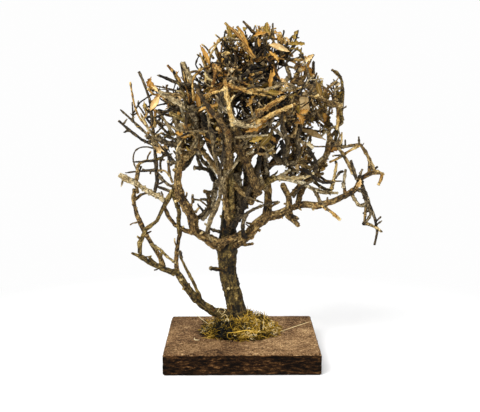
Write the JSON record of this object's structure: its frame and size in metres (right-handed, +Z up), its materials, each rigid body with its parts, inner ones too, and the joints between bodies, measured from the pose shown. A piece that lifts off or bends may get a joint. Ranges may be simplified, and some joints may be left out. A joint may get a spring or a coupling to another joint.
{
  "type": "artificial tabletop tree",
  "caption": "Small tree of glued dry twigs with a few curled leaves, standing in moss on a square wooden board, for a tabletop scene.",
  "frame": {"origin": "middle of the underside of the square board, on the surface the tree stands on", "axes": "+Z up, +X to the right as seen from the front, +Y away from the front"},
  "size_m": [0.1561, 0.0973, 0.1981],
  "materials": {
    "board_stain": "stained brown, mat, gritty",
    "screw_zinc": "yellow zinc plated",
    "hot_glue": "clear amber, set",
    "moss": "dried moss, fibrous",
    "bark_olive": "ridged bark",
    "bark_brown": "rough bark",
    "bark_dark": "dark weathered bark",
    "bark_grey": "peeled grey wood",
    "straw_twig": "peeled straw-coloured wood",
    "leaf_tan": "dry leaf",
    "leaf_olive": "dry leaf",
    "leaf_orange": "dry leaf"
  },
  "bodies": {
    "root": {"base_board": "board_stain", "trunk_screw": "screw_zinc", "glue_fillet": "hot_glue", "moss_right": "moss", "moss_back": "moss", "moss_left": "moss", "moss_front": "moss", "trunk": "bark_olive", "second_stem": "bark_olive", "left_outer_branch": "bark_olive", "left_outer_riser": "bark_olive", "left_cross_branch": "bark_brown", "left_limb": "bark_brown", "left_bridge": "bark_brown", "left_riser": "bark_brown", "left_spear": "bark_grey", "left_upright": "bark_dark", "left_fork_stem": "bark_dark", "left_connector": "bark_brown", "curved_stem": "bark_dark", "front_stem": "bark_grey", "right_limb": "bark_brown", "right_arm": "bark_brown", "hanging_branch": "bark_dark", "right_tip": "bark_brown", "right_riser": "bark_brown", "crossing_stem": "bark_grey", "grey_sidebranch": "bark_grey", "right_stem": "bark_brown", "back_limb_left": "bark_brown", "back_limb_right": "bark_brown", "back_limb_middle": "bark_dark", "right_back_stem": "bark_dark", "front_limb_right": "bark_brown", "front_limb_left": "bark_dark", "leader_left": "bark_olive", "crown_top": "bark_dark", "crown_left": "straw_twig", "straw_antler": "straw_twig", "leaf_big_right": "leaf_tan", "leaf_low_right": "leaf_tan", "leaf_olive_middle": "leaf_olive", "leaf_narrow_middle": "leaf_olive", "leaf_straw_middle": "leaf_tan", "leaf_outer_right": "leaf_olive", "leaf_rim_right": "leaf_orange", "leaf_orange_upper": "leaf_orange", "leaf_top_right": "leaf_tan", "leaf_top_left": "straw_twig", "leaf_left_fold": "leaf_tan", "leaf_left_tip": "leaf_orange", "leaf_upper_left": "leaf_orange"}
  },
  "joints": []
}
